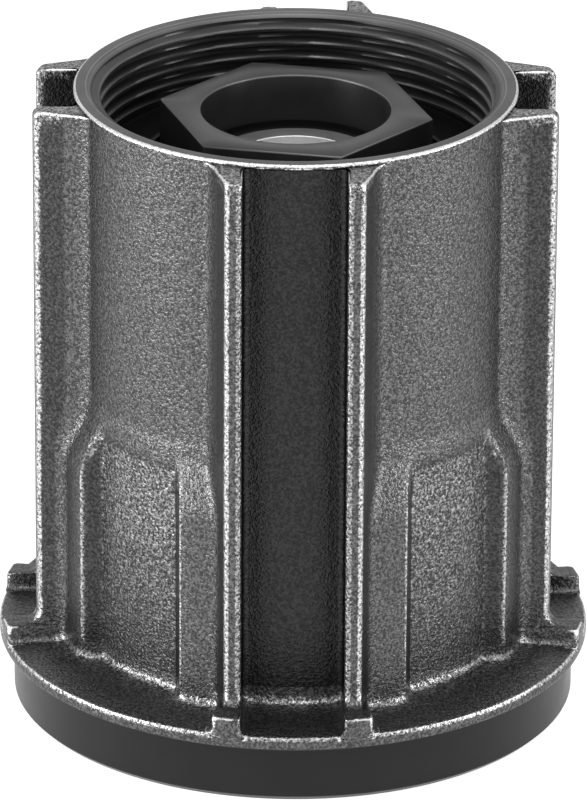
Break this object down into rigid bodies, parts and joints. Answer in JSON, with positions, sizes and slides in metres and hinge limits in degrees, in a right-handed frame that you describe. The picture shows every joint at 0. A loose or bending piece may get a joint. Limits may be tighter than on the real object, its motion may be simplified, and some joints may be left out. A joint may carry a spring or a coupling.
{
  "type": "cassette driver assembly",
  "caption": "Ribbed cassette driver of a rear hub on ball bearings round an axle sleeve, with sprung pawls in a toothed ratchet ring, a threaded mouth and a hexagonal end nut.",
  "frame": {"origin": "centre of the inboard face of the ratchet ring, on the axis", "axes": "+Z along the axle from the hub shell towards the lockring, -Y towards the picture's camera, +X to its right"},
  "size_m": [0.0398, 0.0398, 0.0433],
  "materials": {
    "cast_steel": "rough cast, edges worn bright",
    "black_ring_steel": "satin black turned steel",
    "black_nut_steel": "satin black oxide",
    "machined_steel": "bright turned steel",
    "bearing_steel": "ground bearing steel",
    "hardened_steel": "hardened and ground",
    "spring_steel": "bright spring steel",
    "spacer_aluminium": "turned",
    "seal_rubber": "matt",
    "cage_polymer": "moulded"
  },
  "bodies": {
    "driver": {"driver_body": "cast_steel", "pawl_spring_1": "spring_steel", "pawl_spring_2": "spring_steel", "pawl_spring_3": "spring_steel", "inboard_bearing_outer_ring": "bearing_steel", "inboard_bearing_seal_lower": "seal_rubber", "inboard_bearing_seal_upper": "seal_rubber", "outboard_bearing_outer_ring": "bearing_steel", "outboard_bearing_seal_lower": "seal_rubber", "outboard_bearing_seal_upper": "seal_rubber", "retaining_ring": "spring_steel", "outer_spacer": "spacer_aluminium", "inboard_seal": "seal_rubber", "outboard_seal": "seal_rubber"},
    "hub_ring": {"ratchet_ring": "black_ring_steel"},
    "axle": {"axle_sleeve": "machined_steel", "end_nut": "black_nut_steel", "nut_washer": "machined_steel", "inner_spacer": "spacer_aluminium", "inboard_bearing_inner_ring": "bearing_steel", "outboard_bearing_inner_ring": "bearing_steel"},
    "inboard_cage": {"inboard_bearing_cage": "cage_polymer", "inboard_bearing_ball_1": "bearing_steel", "inboard_bearing_ball_2": "bearing_steel", "inboard_bearing_ball_3": "bearing_steel", "inboard_bearing_ball_4": "bearing_steel", "inboard_bearing_ball_5": "bearing_steel", "inboard_bearing_ball_6": "bearing_steel", "inboard_bearing_ball_7": "bearing_steel", "inboard_bearing_ball_8": "bearing_steel", "inboard_bearing_ball_9": "bearing_steel", "inboard_bearing_ball_10": "bearing_steel"},
    "outboard_cage": {"outboard_bearing_cage": "cage_polymer", "outboard_bearing_ball_1": "bearing_steel", "outboard_bearing_ball_2": "bearing_steel", "outboard_bearing_ball_3": "bearing_steel", "outboard_bearing_ball_4": "bearing_steel", "outboard_bearing_ball_5": "bearing_steel", "outboard_bearing_ball_6": "bearing_steel", "outboard_bearing_ball_7": "bearing_steel", "outboard_bearing_ball_8": "bearing_steel", "outboard_bearing_ball_9": "bearing_steel", "outboard_bearing_ball_10": "bearing_steel"},
    "pawl_lever_1": {"pawl_1": "hardened_steel"},
    "pawl_lever_2": {"pawl_2": "hardened_steel"},
    "pawl_lever_3": {"pawl_3": "hardened_steel"}
  },
  "joints": [
    {"name": "freewheel_spin", "type": "hinge", "parent": "driver", "child": "hub_ring", "pos_m": [0, 0, 0.0019], "axis": [0, 0, 1], "continuous": true},
    {"name": "axle_spin", "type": "hinge", "parent": "driver", "child": "axle", "pos_m": [0, 0, 0.02], "axis": [0, 0, 1], "continuous": true},
    {"name": "inboard_cage_spin", "type": "hinge", "parent": "driver", "child": "inboard_cage", "pos_m": [0, 0, 0.00825], "axis": [0, 0, 1], "continuous": true},
    {"name": "outboard_cage_spin", "type": "hinge", "parent": "driver", "child": "outboard_cage", "pos_m": [0, 0, 0.03053], "axis": [0, 0, 1], "continuous": true},
    {"name": "pawl_1_swing", "type": "hinge", "parent": "driver", "child": "pawl_lever_1", "pos_m": [-0.01423, 0.00303, 0.0024], "axis": [0, 0, 1], "range_deg": [0, 11], "stiffness_Nm_per_rad": 0.0002, "springref_deg": 22.92},
    {"name": "pawl_2_swing", "type": "hinge", "parent": "driver", "child": "pawl_lever_2", "pos_m": [0.0045, -0.01384, 0.0024], "axis": [0, 0, 1], "range_deg": [0, 11], "stiffness_Nm_per_rad": 0.0002, "springref_deg": 22.92},
    {"name": "pawl_3_swing", "type": "hinge", "parent": "driver", "child": "pawl_lever_3", "pos_m": [0.00974, 0.01081, 0.0024], "axis": [0, 0, 1], "range_deg": [0, 11], "stiffness_Nm_per_rad": 0.0002, "springref_deg": 22.92}
  ],
  "couplings": [
    {"joint": "inboard_cage_spin", "follows": "axle_spin", "ratio": 0.41181},
    {"joint": "outboard_cage_spin", "follows": "axle_spin", "ratio": 0.41181},
    {"joint": "pawl_2_swing", "follows": "pawl_1_swing", "ratio": 1},
    {"joint": "pawl_3_swing", "follows": "pawl_1_swing", "ratio": 1}
  ]
}
